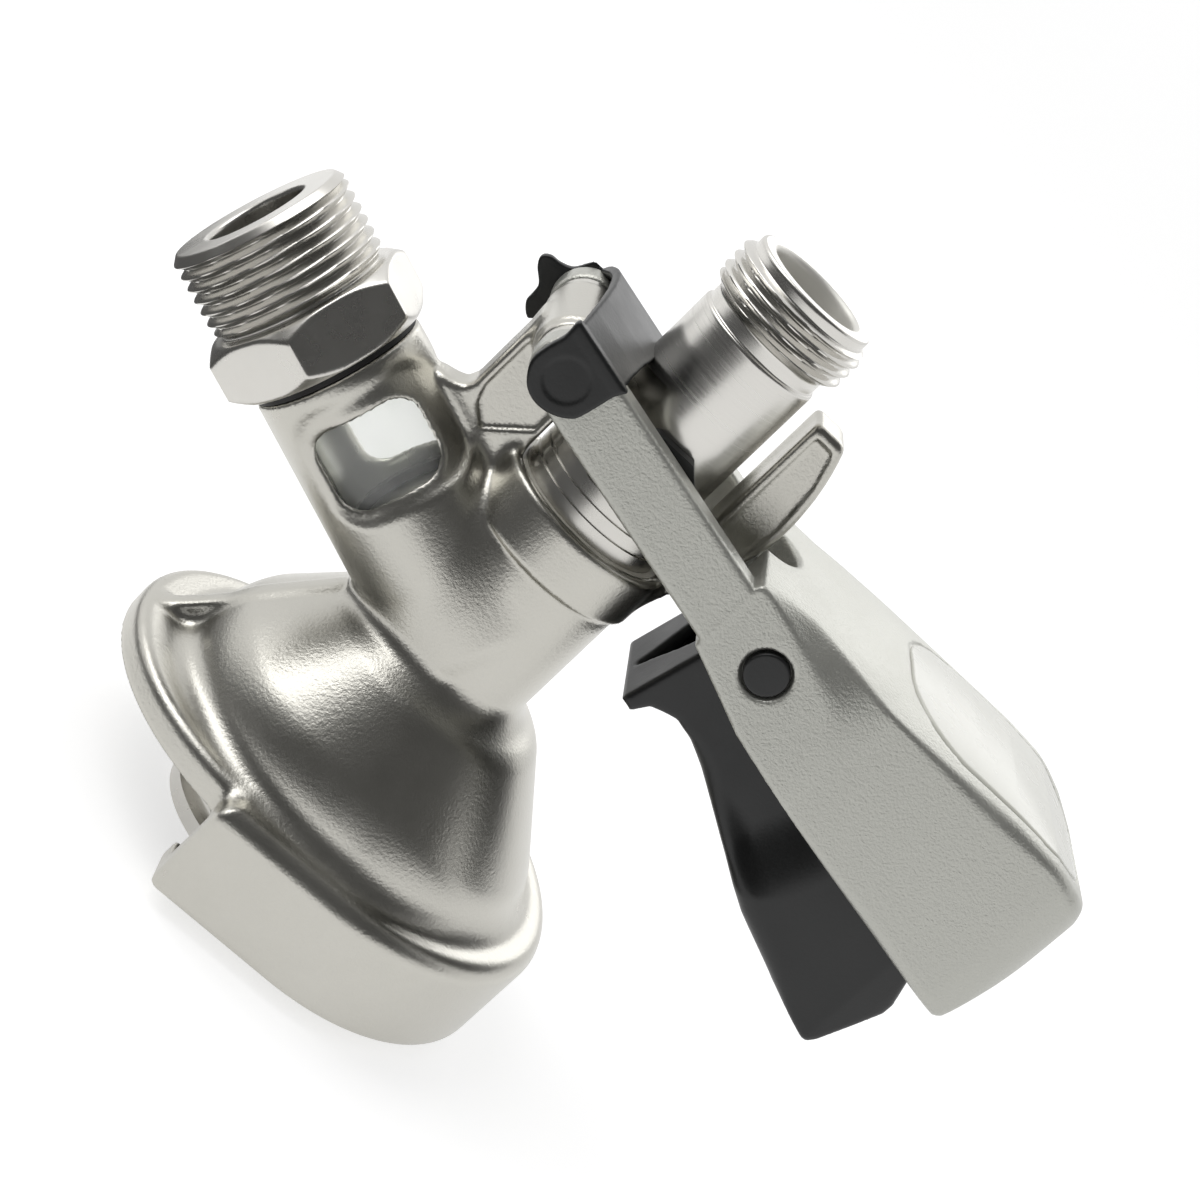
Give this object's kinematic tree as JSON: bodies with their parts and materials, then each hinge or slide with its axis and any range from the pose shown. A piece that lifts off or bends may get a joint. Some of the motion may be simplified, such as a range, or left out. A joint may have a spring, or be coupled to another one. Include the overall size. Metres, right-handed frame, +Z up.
{
  "type": "keg coupler",
  "caption": "Keg coupler with a slide-on base, a sliding probe worked by a latched lever handle, a sight glass in the gas branch, and threaded gas and beer ends.",
  "frame": {"origin": "on the probe's axis, in the plane of the skirt's lower edge", "axes": "+Z up along the probe towards the beer outlet, +X towards the grip, -X towards the gas branch and the open side of the base"},
  "size_m": [0.1583, 0.071, 0.1184],
  "materials": {
    "cast_steel": "bead-blasted cast stainless steel",
    "turned_steel": "turned bright stainless steel",
    "rubber": "black food-grade rubber",
    "polymer": "natural bearing polymer",
    "glass": "clear thick glass",
    "handle_coat": "die-cast metal with a fine-grained silver coat",
    "black_plastic": "black glass-filled plastic, slightly grained",
    "label": "plain cream domed label"
  },
  "bodies": {
    "body": {"coupler_body": "cast_steel", "base_seal": "rubber", "neck_guide": "polymer", "neck_wiper": "rubber", "sight_glass": "glass", "glass_seals": "rubber", "gas_nipple": "turned_steel", "nipple_gasket": "rubber", "check_valve": "rubber", "valve_cage": "polymer", "hinge_bushes": "turned_steel"},
    "probe": {"probe_tube": "turned_steel", "probe_seal": "rubber", "probe_o_rings": "rubber", "outlet_tube": "turned_steel", "trunnion_blocks": "black_plastic", "trunnion_pins": "turned_steel"},
    "handle": {"handle_shell": "handle_coat", "label_plate": "label", "hinge_pin": "turned_steel", "latch_pin": "turned_steel", "pin_plugs": "black_plastic", "hinge_clip": "black_plastic"},
    "latch": {"latch_lever": "black_plastic", "latch_spring": "turned_steel"}
  },
  "joints": [
    {"name": "handle_hinge", "type": "hinge", "parent": "body", "child": "handle", "pos_m": [-0.0186, 0, 0.088], "axis": [0, -1, 0], "range_deg": [0, 43]},
    {"name": "probe_slide", "type": "slide", "parent": "body", "child": "probe", "axis": [0, 0, 1], "range_m": [0, 0.0151]},
    {"name": "latch_hinge", "type": "hinge", "parent": "handle", "child": "latch", "pos_m": [0.03, 0, 0.0762], "axis": [0, -1, 0], "range_deg": [0, 4], "stiffness_Nm_per_rad": 0.6, "springref_deg": -11.46, "deforming": ["latch_spring"]}
  ],
  "couplings": [
    {"joint": "probe_slide", "follows": "handle_hinge", "m_per_rad": 0.01994}
  ]
}
